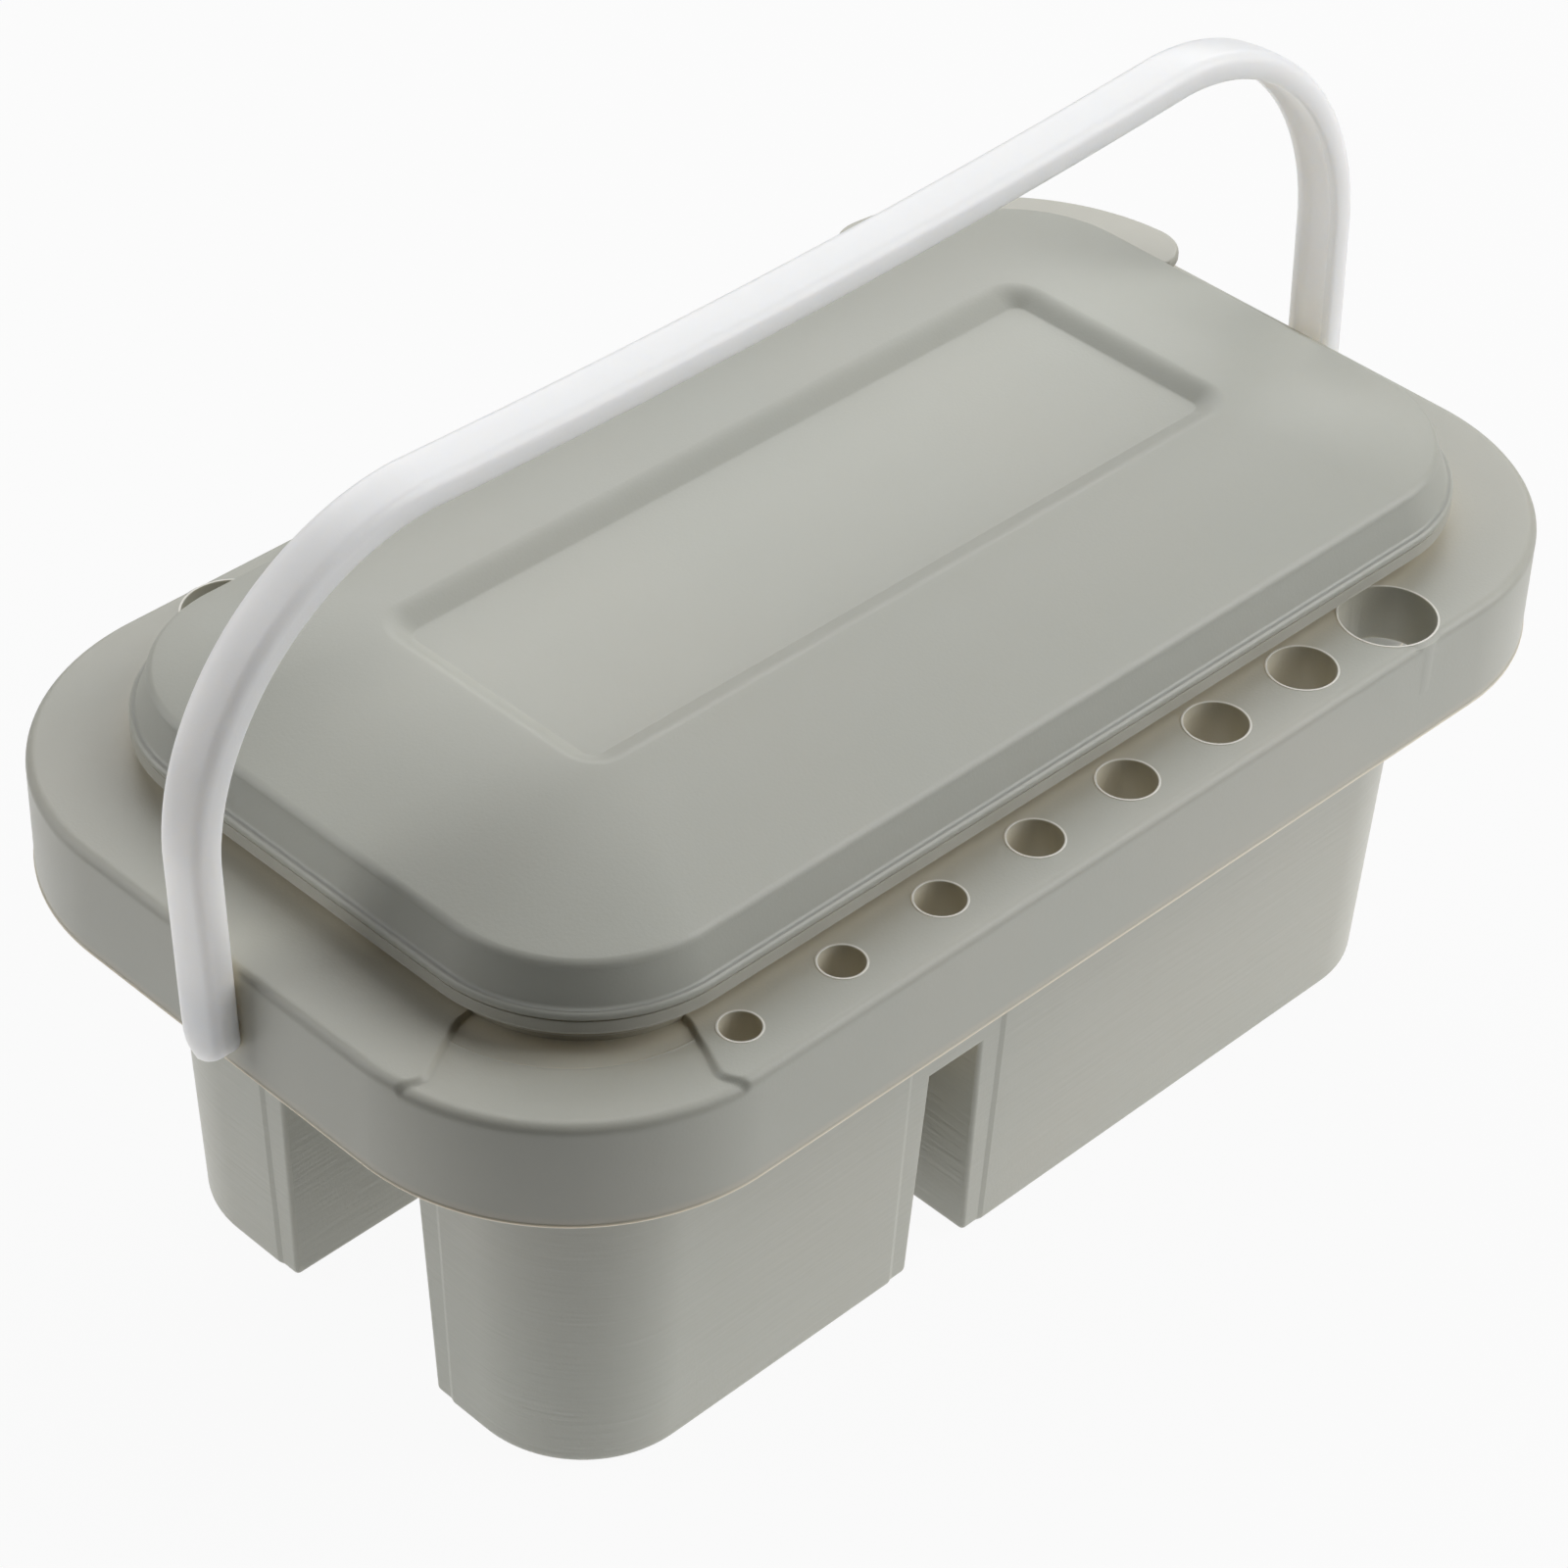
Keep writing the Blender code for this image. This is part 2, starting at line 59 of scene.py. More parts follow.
# %% Sizes in millimetres
MM = 0.001
RIM_X, RIM_Y, RIM_CORNER = 130.0, 76.3, 43.5
DECK, SKIRT_BOTTOM, RIM_FILLET, WALL = 98.9, 77.3, 1.8, 1.8
TUB_X, TUB_Y, TUB_CORNER, TUB_TOP = 110.6, 59.4, 26.7, 102.3
TUB_WALL, DRAFT, GAP_DRAFT, ROOF = 1.6, 0.045, 0.023, 47.5
TRAY_LOW, TRAY_TOP, FLANGE_OUT = 102.6, 105.0, 2.8
LID_LOW, LIP_TOP, CREASE, LID_TOP = 105.3, 106.7, 114.3, 121.7
PANEL_X, PANEL_Y, PANEL_FLOOR = 71.8, 21.7, 118.8
PIVOT, REACH, BEND, SAG = 83.6, 84.4, 46.4, 2.2
CORNER_STEPS, FILLET_STEPS = 28, 6
print("rim", 2 * RIM_X, "x", 2 * RIM_Y, "mm, pivot", PIVOT, "mm above the table")

# %% [markdown]
# ## Helpers for outlines
# A rounded outline is a polygon whose corners are replaced by arcs. Giving each
# corner its own radius lets one function draw a plain oblong, and also an
# outline with tight corners on one side and wide ones on the other. Rings that
# belong to one skin need the same number of points, so the number of points in
# a corner never depends on its size.

# %% Outline helpers
def rounded(corners, z):
    """Ring through (x, y, radius, steps) corners, each replaced by an arc."""
    ring = []
    count = len(corners)
    for index, (x, y, radius, steps) in enumerate(corners):
        here = Vector((x, y))
        back = (Vector(corners[index - 1][:2]) - here).normalized()
        ahead = (Vector(corners[(index + 1) % count][:2]) - here).normalized()
        half = math.acos(max(-1.0, min(1.0, back.dot(ahead)))) / 2
        reach = radius / math.tan(half)
        start = here + back * reach
        middle = here + (back + ahead).normalized() * (radius / math.sin(half))
        first = start - middle
        turn = first.angle_signed(here + ahead * reach - middle)
        for step in range(steps + 1):
            angle = -turn * step / steps
            spun = Matrix.Rotation(angle, 2) @ first
            ring.append((middle.x + spun.x, middle.y + spun.y, z))
    return ring


def oblong(half_x, half_y, radius, z, steps=CORNER_STEPS):
    """Ring of a rectangle with four equal round corners."""
    corners = [(half_x, half_y), (-half_x, half_y), (-half_x, -half_y), (half_x, -half_y)]
    return rounded([(x, y, radius, steps) for x, y in corners], z)


def skin(name, rings):
    """Closed mesh object through a stack of rings, in millimetres."""
    mesh = bmesh.new()
    rows = [[mesh.verts.new(Vector(point) * MM) for point in ring] for ring in rings]
    for low, high in zip(rows, rows[1:]):
        for index, corner in enumerate(low):
            after = (index + 1) % len(low)
            mesh.faces.new((corner, low[after], high[after], high[index]))
    mesh.faces.new(list(reversed(rows[0])))
    mesh.faces.new(rows[-1])
    bmesh.ops.recalc_face_normals(mesh, faces=mesh.faces)
    data = bpy.data.meshes.new(name)
    mesh.to_mesh(data)
    mesh.free()
    thing = bpy.data.objects.new(name, data)
    bpy.context.scene.collection.objects.link(thing)
    return thing


def arc(steps=FILLET_STEPS):
    """(sine, cosine) pairs from 0 to a quarter turn, for fillets."""
    for step in range(steps + 1):
        angle = math.pi / 2 * step / steps
        yield math.sin(angle), math.cos(angle)


def smooth(low, high, value):
    """0 below low, 1 above high and a soft curve between."""
    share = max(0.0, min(1.0, (value - low) / (high - low)))
    return share * share * (3 - 2 * share)


# %% [markdown]
# ## Booleans without leftovers
# A Boolean modifier is only a recipe until it is applied. Here each one is
# turned into real mesh straight away and its tool is deleted, so the finished
# piece holds plain faces that nothing can change later. Tools that do the same
# job are joined first, which makes sixteen holes one single cut.

# %% Boolean helpers
def join(name, things):
    """One object from several that don't touch."""
    bpy.ops.object.select_all(action="DESELECT")
    for thing in things:
        thing.select_set(True)
    bpy.context.view_layer.objects.active = things[0]
    bpy.ops.object.join()
    things[0].name = name
    return things[0]


def carve(target, tool, operation):
    """Apply a Boolean and delete its tool."""
    change = target.modifiers.new(tool.name, "BOOLEAN")
    change.object = tool
    change.operation = operation
    change.solver = "EXACT"
    graph = bpy.context.evaluated_depsgraph_get()
    mesh = bpy.data.meshes.new_from_object(target.evaluated_get(graph))
    target.modifiers.clear()
    old = target.data
    target.data = mesh
    bpy.data.meshes.remove(old)
    bpy.data.objects.remove(tool, do_unlink=True)


def finish_shading(thing, angle=32.0):
    """Smooth shading that keeps flat faces flat and real edges sharp."""
    thing.data.shade_smooth()
    thing.data.set_sharp_from_angle(angle=math.radians(angle))
    weigh = thing.modifiers.new("weighted_normals", "WEIGHTED_NORMAL")
    weigh.keep_sharp = True


# %% [markdown]
# ## The rim
# The rim is the bucket's carrying edge: a flat deck with a deep skirt round it.
# At two opposite corners the deck drops by nearly a millimetre, so that a
# fingertip gets under the tray's tab. The step is not a straight cut. It leans,
# and it rounds into the rim's own edge. A height that depends on where a point
# lies makes such a form more gently than a Boolean would, so the rings of the
# deck are drawn first and then sunk point by point. The rings lie closest
# together where the sunk part has its fine seam. A bead runs round the skirt's
# lower edge, and the rear of the rim stands a little further out than the front.

# %% Rim rings
CORNER_AT = Vector((RIM_X - RIM_CORNER, RIM_Y - RIM_CORNER))
RECESS_DEEP, RECESS_SOFT = 0.85, 0.95
RECESS_FROM, RECESS_TO = 7.6, 88.0
FLARE, RIM_FLARE, INNER_FLARE = 6.5, 4.0, 1.25
SEAM_AT, SEAM_HALF, SEAM_DEEP = 30.3, 0.28, 0.16
BACK_OUT, BACK_RUN, BEAD = 1.8, 45.0, 0.18
SUNK_STEPS, PLAIN_STEPS = 190, 36
SKIRT_LEVELS = (84.0, 90.0, 94.0, 95.6, 96.6)
SINK_FROM, SINK_FULL, DECK_RUN, DECK_CLOSE = 92.0, 97.1, 19.5, 24.0


def recess_depth(x, y):
    """How far the deck is sunk at a point, the same at two opposite corners."""
    if x * y < 0:
        return 0.0
    rel = Vector((abs(x), abs(y))) - CORNER_AT
    radius = rel.length
    turn = math.degrees(math.atan2(rel.y, rel.x))
    narrower = smooth(24.0, 42.5, radius) * FLARE
    wider = smooth(RIM_CORNER - 5.0, RIM_CORNER + 0.5, radius) * RIM_FLARE
    wider += (1.0 - smooth(26.0, 31.0, radius)) * INNER_FLARE
    start = RECESS_FROM + narrower - wider
    end = RECESS_TO - narrower + wider
    opened = smooth(start - RECESS_SOFT, start + RECESS_SOFT, turn)
    closed = smooth(end - RECESS_SOFT, end + RECESS_SOFT, turn)
    near_tub = 0.1 * (1.0 - smooth(SEAM_AT - 0.2, SEAM_AT + 0.2, radius))
    seam = SEAM_DEEP * max(0.0, 1.0 - abs(radius - SEAM_AT) / SEAM_HALF)
    return RECESS_DEEP * opened * (1.0 - closed) * (1.0 + near_tub - seam)


def set_back(ring):
    """Move the rear of an outline out, since the rim's rear margin is the wider one."""
    return [(x, y + BACK_OUT * smooth(0.0, BACK_RUN, y), z) for x, y, z in ring]


def rim_ring(inset, z):
    """Level outline of the rim, with many points round the two sunk corners."""
    x, y, radius = RIM_X - inset, RIM_Y - inset, RIM_CORNER - inset
    corners = [(x, y, radius, SUNK_STEPS), (-x, y, radius, PLAIN_STEPS)]
    corners += [(-x, -y, radius, SUNK_STEPS), (x, -y, radius, PLAIN_STEPS)]
    return set_back(rounded(corners, z))


def sunk(ring, hold):
    """Lower a ring by the recess, by the given share of its depth."""
    return [(x, y, z - hold * recess_depth(x, y)) for x, y, z in ring]


bead = ((0.35, 0.0), (0.0, 0.15), (-BEAD, 0.4), (-BEAD, 0.6), (0.0, 0.85))
rings = [rim_ring(inset, SKIRT_BOTTOM + up) for inset, up in bead]
for level in SKIRT_LEVELS:
    rings.append(sunk(rim_ring(0.0, level), smooth(SINK_FROM, SINK_FULL, level)))
for s, c in arc():
    rings.append(sunk(rim_ring(RIM_FILLET * (1 - c), DECK - RIM_FILLET * (1 - s)), 1.0))
inset = RIM_FILLET
while inset < DECK_RUN:
    at_seam, at_edge = 12.5 < inset < 13.8, inset < 4.0
    inset += 0.12 if at_seam else 0.2 if at_edge else 0.45
    rings.append(sunk(rim_ring(inset, DECK), 1.0))
rings.append(rim_ring(DECK_CLOSE, DECK))
bucket = skin("bucket_body", rings)


def inner_ring(inset, z):
    """Level outline of the space under the deck."""
    return set_back(oblong(RIM_X - inset, RIM_Y - inset, RIM_CORNER - inset, z))


below, soffit = SKIRT_BOTTOM - 7.3, DECK - WALL - 1.0
under = [inner_ring(WALL, below), inner_ring(WALL, soffit)]
under += [inner_ring(WALL + 1.0 - c, soffit + s) for s, c in arc(3)]
carve(bucket, skin("under_deck", under), "DIFFERENCE")
print("rim faces:", len(bucket.data.polygons))

# %% [markdown]
# ## Brush holes
# Each row has eight holes that grow from a fine brush to a broad one, and the second row is the first
# one turned half round. On the real bucket a short tube hangs under each hole and steadies the brush.
# Both the tube and the cutter for the hole are turned profiles. The tube stands a hair above the deck,
# which makes a thin bright lip, and a painted highlight band at the lip's height in the grey plastic
# brightens it further. The holes are cut once the tub is in place, because the broadest one reaches
# into its wall.

# %% Brush holes
def turned(name, profile, x, y, steps=48):
    """Upright turned solid from (radius, z) pairs."""
    rings = []
    for radius, z in profile:
        circle = [2 * math.pi * k / steps for k in range(steps)]
        rings.append([(x + radius * math.cos(a), y + radius * math.sin(a), z) for a in circle])
    return skin(name, rings)


HOLE_COUNT, HOLE_FIRST, HOLE_PITCH, HOLE_ROW = 8, -82.4, 22.057, -66.3
LEAST_RADIUS, RADIUS_GROWTH, TUBE_DEEP = 3.4, 0.425, 14.0
BROAD_RADIUS, BROAD_ROW, BROAD_DEEP = 8.5, -66.8, 11.0
REAR_SHIFT, TUBE_WALL, LIP, LIP_FILLET = 1.35, 1.2, 0.12, 0.16
holes = []
for index in range(HOLE_COUNT):
    x, y = HOLE_FIRST + HOLE_PITCH * index, HOLE_ROW
    radius, deep = LEAST_RADIUS + RADIUS_GROWTH * index, TUBE_DEEP
    if index == HOLE_COUNT - 1:
        radius, y, deep = BROAD_RADIUS, BROAD_ROW, BROAD_DEEP
    holes += [(x, y, radius, deep), (-x, REAR_SHIFT - y, radius, deep)]
tubes, bores = [], []
for x, y, radius, deep in holes:
    foot, lip_top = DECK - deep, DECK + LIP
    profile = [(radius + TUBE_WALL - 0.1, foot), (radius + TUBE_WALL, DECK - 0.6)]
    profile += [(radius + 0.5, DECK - 0.1), (radius + 0.42, DECK + 0.08), (radius + 0.28, lip_top)]
    tubes.append(turned("tube", profile, x, y))
    profile = [(radius - 0.1, foot - 4.0), (radius, lip_top - 0.2)]
    for s, c in arc(4):
        profile.append((radius + LIP_FILLET * (1 - c), lip_top - LIP_FILLET * (1 - s)))
    profile.append((radius + LIP_FILLET, DECK + 4.0))
    bores.append(turned("bore", profile, x, y))
carve(bucket, join("tubes", tubes), "UNION")
print("tubes hung:", len(holes))

# %% [markdown]
# ## The tub
# Seen from the table the tub is three separate compartments, two small ones on
# the left and a large one on the right. Higher up they join in one basin, so
# the water level is shared once it passes the roof of the gap. The walls lean
# out a little towards the top, as a mould needs. Beside the gap each wall steps
# back by a hair, and that thin upright line shows in the photo. The step is
# drawn in the outline itself, so it runs the whole height without a cut.

# %% Tub outlines
STRIP, STEP_BACK, STEP_RUN, GAP_CORNER = 5.8, 0.35, 1.0, 0.9
CRISP, CROSS_CORNER = 0.3, 2.6
SMALL_X, SMALL_Y, CROSS, LONG = 78.2, 35.1, 14.2, 36.3
FOOT_X, FOOT_Y = TUB_X - DRAFT * TUB_TOP, TUB_Y - DRAFT * TUB_TOP


def tub_walls(z, inset):
    """Half sizes and corner radius of the tub at a height, moved in by inset."""
    shrink = DRAFT * (TUB_TOP - z) + inset
    return TUB_X - shrink, TUB_Y - shrink, TUB_CORNER - shrink


def gap_lines(z, inset):
    """Walls beside the gap: the small right, the large left, the front and the back."""
    lean = GAP_DRAFT * z
    right = -FOOT_X + SMALL_X + lean - inset
    left = -FOOT_X + SMALL_X + CROSS - lean + inset
    front = -FOOT_Y + SMALL_Y + lean - inset
    back = -FOOT_Y + SMALL_Y + LONG - lean + inset
    return right, left, front, back


def upper_outline(z, inset, back_off):
    """Tub above the gap's roof, with its walls set back over the gaps."""
    half_x, half_y, corner = tub_walls(z, inset)
    right, left, front, back = gap_lines(ROOF, 0.0)
    low_x, high_x = right - STRIP, left + STRIP
    low_y, high_y = front - STRIP, back + STRIP
    points = [(half_x, half_y, corner, CORNER_STEPS)]
    points += [(high_x, half_y, CRISP, 3), (high_x - STEP_RUN, half_y - back_off, CRISP, 3)]
    points += [(low_x + STEP_RUN, half_y - back_off, CRISP, 3), (low_x, half_y, CRISP, 3)]
    points.append((-half_x, half_y, corner, CORNER_STEPS))
    points += [(-half_x, high_y, CRISP, 3), (-half_x + back_off, high_y - STEP_RUN, CRISP, 3)]
    points += [(-half_x + back_off, low_y + STEP_RUN, CRISP, 3), (-half_x, low_y, CRISP, 3)]
    points.append((-half_x, -half_y, corner, CORNER_STEPS))
    points += [(low_x, -half_y, CRISP, 3), (low_x + STEP_RUN, -half_y + back_off, CRISP, 3)]
    points += [(high_x - STEP_RUN, -half_y + back_off, CRISP, 3), (high_x, -half_y, CRISP, 3)]
    points.append((half_x, -half_y, corner, CORNER_STEPS))
    return rounded(points, z)


def small_outline(z, inset, side, back_off):
    """Front or back small compartment. Side is -1 at the front and 1 at the back."""
    half_x, half_y, corner = tub_walls(z, inset)
    right, _, front, back = gap_lines(z, inset)
    fixed_right, _, fixed_front, fixed_back = gap_lines(ROOF, 0.0)
    wall = front if side < 0 else back
    strip_x = fixed_right - STRIP
    strip_y = fixed_front - STRIP if side < 0 else fixed_back + STRIP
    tight = max(GAP_CORNER - inset * 0.6, 0.4)
    points = [
        (right, wall, CROSS_CORNER, 6),
        (-half_x + back_off, wall, tight, 6),
        (-half_x + back_off, strip_y - side * STEP_RUN, CRISP, 3),
        (-half_x, strip_y, CRISP, 3),
        (-half_x, side * half_y, corner, CORNER_STEPS),
        (strip_x, side * half_y, CRISP, 3),
        (strip_x + STEP_RUN, side * (half_y - back_off), CRISP, 3),
        (right, side * (half_y - back_off), tight, 6),
    ]
    return rounded(points if side < 0 else list(reversed(points)), z)


def large_outline(z, inset, back_off):
    """Large compartment on the right."""
    half_x, half_y, corner = tub_walls(z, inset)
    _, left, _, _ = gap_lines(z, inset)
    strip_x = gap_lines(ROOF, 0.0)[1] + STRIP
    tight = max(GAP_CORNER - inset * 0.6, 0.4)
    points = [
        (half_x, half_y, corner, CORNER_STEPS),
        (strip_x, half_y, CRISP, 3),
        (strip_x - STEP_RUN, half_y - back_off, CRISP, 3),
        (left, half_y - back_off, tight, 6),
        (left, -half_y + back_off, tight, 6),
        (strip_x - STEP_RUN, -half_y + back_off, CRISP, 3),
        (strip_x, -half_y, CRISP, 3),
        (half_x, -half_y, corner, CORNER_STEPS),
    ]
    return rounded(points, z)


# %% [markdown]
# ## Compartments
# The same function draws the outside of a compartment and the hollow in it, with the hollow moved in
# by the wall's thickness. A foot fillet is a quarter circle of insets over the lowest few millimetres.
# The basin's inside is cut down to just above the gap's roof, and each hollow goes on from there to
# the floor. The collar over the deck is drawn in a little, which leaves a dark seam under the tray's
# flange, and a painted shadow band in the grey plastic darkens the collar further.

# %% Build the tub
FOOT_FILLET, FLOOR, COLLAR_IN = 1.6, 2.0, 0.75
MOUTH_UP, HOLLOW_UP, INNER_WALL = 1.6, 1.9, 0.3
PIVOT_RADIUS, PIVOT_INNER, PIVOT_OUTER = 3.2, 120.0, 135.0


def compartment(name, outline, floor, top, inset, back_off):
    """Stack of rings with a rounded foot."""
    rings = []
    for s, c in arc():
        tuck = FOOT_FILLET * (1 - s)
        rings.append(outline(floor + FOOT_FILLET * (1 - c), inset + tuck, back_off))
    rings.append(outline(top, inset, back_off))
    return skin(name, rings)


def front_small(z, inset, back_off):
    """Small compartment at the front."""
    return small_outline(z, inset, -1, back_off)


def back_small(z, inset, back_off):
    """Small compartment at the back."""
    return small_outline(z, inset, 1, back_off)


shapes = {"large": large_outline, "front_small": front_small, "back_small": back_small}
upper = [upper_outline(z, 0.0, STEP_BACK) for z in (ROOF, 74.0, DECK - 1.4)]
upper.append(upper_outline(DECK - 0.9, COLLAR_IN - 0.05, STEP_BACK))
upper.append(upper_outline(TUB_TOP, COLLAR_IN, STEP_BACK))
upper = skin("upper_tub", upper)
for name, outline in shapes.items():
    carve(upper, compartment(name, outline, 0.0, ROOF, 0.0, STEP_BACK), "UNION")
carve(bucket, upper, "UNION")
mouth = [upper_outline(z, TUB_WALL, STEP_BACK) for z in (ROOF + MOUTH_UP, TUB_TOP + 5.0)]
carve(bucket, skin("mouth", mouth), "DIFFERENCE")
carve(bucket, join("bores", bores), "DIFFERENCE")
inset = TUB_WALL + INNER_WALL
for name, outline in shapes.items():
    hollow = compartment(name, outline, FLOOR, ROOF + HOLLOW_UP, inset, STEP_BACK)
    carve(bucket, hollow, "DIFFERENCE")


def lying(name, profile, steps=40):
    """Solid turned about the handle's axis from (radius, x) pairs."""
    rings = []
    for radius, x in profile:
        circle = [2 * math.pi * k / steps for k in range(steps)]
        rings.append([(x, radius * math.cos(a), PIVOT + radius * math.sin(a)) for a in circle])
    return skin(name, rings)


for side in (-1, 1):
    profile = [(PIVOT_RADIUS, side * PIVOT_INNER), (PIVOT_RADIUS, side * PIVOT_OUTER)]
    carve(bucket, lying("pivot_hole", profile), "DIFFERENCE")
finish_shading(bucket)
print("bucket faces:", len(bucket.data.polygons))

# %% [markdown]
# ## The palette tray
# The tray hangs in the bucket's mouth by a flange that sits on the tub's edge.
# Only the flange and a crescent tab show while the lid is on. Under the lid is a
# shallow dish with five wells for pure colour and three fields for mixing. The
# tab is what a finger lifts, so it reaches out over the sunk corner of the deck.

# %% Tray
def flange(inset, z):
    """Outline that the tray's flange and the lid's lip share."""
    grow = FLANGE_OUT - inset
    return oblong(TUB_X + grow, TUB_Y + grow, TUB_CORNER + grow, z)


TRAY_DEEP, TRAY_WALL, HANG = 14.0, 1.4, 5.1
TAB_REACH, TAB_TIP, TAB_THICK, TAB_FILLET = 15.5, 8.0, 2.1, 0.7
RIB_HALF, RIB_HIGH, WELL_LONG = 0.7, 7.0, 30.0
tray_floor = TRAY_LOW - TRAY_DEEP
tuck = 0.08 * TRAY_DEEP
deep, inner_floor = HANG + tuck + TRAY_WALL, tray_floor + TRAY_WALL
outside = [
    (HANG + tuck + 1.5, tray_floor), (HANG + tuck + 0.4, tray_floor + 0.4),
    (HANG + tuck, tray_floor + 1.5), (HANG, TRAY_LOW),
]
edge = [
    (0.3, TRAY_LOW), (0.0, TRAY_LOW + 0.12), (0.0, TRAY_LOW + 0.3),
    (0.12, TRAY_LOW + 0.5), (0.12, TRAY_TOP - 0.4), (0.2, TRAY_TOP - 0.1), (0.6, TRAY_TOP),
]
upstand = [
    (3.2, TRAY_TOP), (4.15, TRAY_TOP + 2.4), (4.4, TRAY_TOP + 2.6),
    (5.3, TRAY_TOP + 2.6), (5.6, TRAY_TOP + 2.3),
]
inside = [
    (HANG + TRAY_WALL, TRAY_LOW), (deep, inner_floor + 1.5),
    (deep + 0.4, inner_floor + 0.4), (deep + 1.5, inner_floor),
]
rings = [flange(inset, z) for inset, z in outside + edge + upstand + inside]
tray = skin("palette_tray_body", rings)

TAB_CORNER = TUB_CORNER + FLANGE_OUT
TAB_AT = Vector((TUB_X - TUB_CORNER, TUB_Y - TUB_CORNER))
TAB_START, TAB_ROOT = math.radians(4.0), 2.6


def tab_outline(inset, z):
    """Crescent round the back right corner of the flange."""
    reach, tip = TAB_CORNER + TAB_REACH - inset, TAB_TIP - inset
    quarter = math.pi / 2
    first, last = TAB_START, quarter - TAB_START

    def sweep(centre, radius, start, stop, steps):
        for k in range(steps + 1):
            angle = start + (stop - start) * k / steps
            yield (centre.x + radius * math.cos(angle), centre.y + radius * math.sin(angle), z)

    def tip_at(angle):
        return TAB_AT + (reach - tip) * Vector((math.cos(angle), math.sin(angle)))

    ring = list(sweep(TAB_AT, reach, first, last, 30))
    ring += list(sweep(tip_at(last), tip, last, last + quarter, 10))[1:]
    ring += list(sweep(TAB_AT, TAB_CORNER - TAB_ROOT, quarter, 0.0, 30))
    ring += list(sweep(tip_at(first), tip, first - quarter, first, 10))[:-1]
    return ring


tab_low = TRAY_TOP - TAB_THICK
rings = [tab_outline(inset, tab_low + up) for inset, up in ((0.5, 0.0), (0.15, 0.15), (0.0, 0.5))]
rings += [tab_outline(TAB_FILLET * (1 - c), TRAY_TOP - TAB_FILLET * (1 - s)) for s, c in arc(5)]
carve(tray, skin("tab", rings), "UNION")

inner = HANG + TRAY_WALL - FLANGE_OUT
end_x, end_y = TUB_X - inner - tuck + RIB_HALF, TUB_Y - inner - tuck + RIB_HALF
divide = end_y - RIB_HALF - WELL_LONG
rib_low, rib_top = inner_floor - TRAY_WALL / 2, inner_floor + RIB_HIGH


def rib(x_low, x_high, y_low, y_high):
    """Upright dividing wall with a slightly narrowed top."""
    rings = []
    for z, tuck_in in ((rib_low, 0.0), (rib_top - 0.3, 0.0), (rib_top, 0.3)):
        left, right = x_low + tuck_in, x_high - tuck_in
        near, far = y_low + tuck_in, y_high - tuck_in
        rings.append([(left, near, z), (right, near, z), (right, far, z), (left, far, z)])
    return skin("rib", rings)


carve(tray, rib(-end_x, end_x, divide - RIB_HALF, divide + RIB_HALF), "UNION")
for fields, near, far in ((5, divide, end_y), (3, -end_y, divide)):
    for index in range(1, fields):
        place = -end_x + 2 * end_x * index / fields
        carve(tray, rib(place - RIB_HALF, place + RIB_HALF, near, far), "UNION")
finish_shading(tray)
print("tray faces:", len(tray.data.polygons))

# %% [markdown]
# ## The lid
# The lid is one thin shell. From its lip the wall leans in to a rounded crease,
# and from there the top swells like a pillow to a soft ridge round the sunk
# panel. The pillow is made of rings whose corner radius shrinks on the way in,
# which gives the broad soft folds that run to the panel's corners. The inside
# follows the outside at the wall's thickness.

# %% Lid
LID_WALL, LID_FOOT, WALL_FILLET, LIP_FOLD = 1.5, 1.1, 0.8, 0.9
WALL_LEAN, FOLD, FOLD_TURN, DOME_STEPS = 2.0, 1.9, math.radians(72.0), 22
EDGE_X, EDGE_Y, EDGE_CORNER, PANEL_CORNER = 4.9, 5.7, 7.2, 2.2
SINK_SHARE, SWELL_SHARE, FALL_SHARE, LIP_IN, LIP_UNDER = 0.8, 0.72, 0.35, 0.25, 2.6


def lid_ring(half_x, half_y, corner, z, drop):
    """Ring of the lid, moved inwards and down for the inner side."""
    corner = max(corner - drop, 1.0)
    return oblong(half_x - drop, half_y - drop, corner, z - drop)


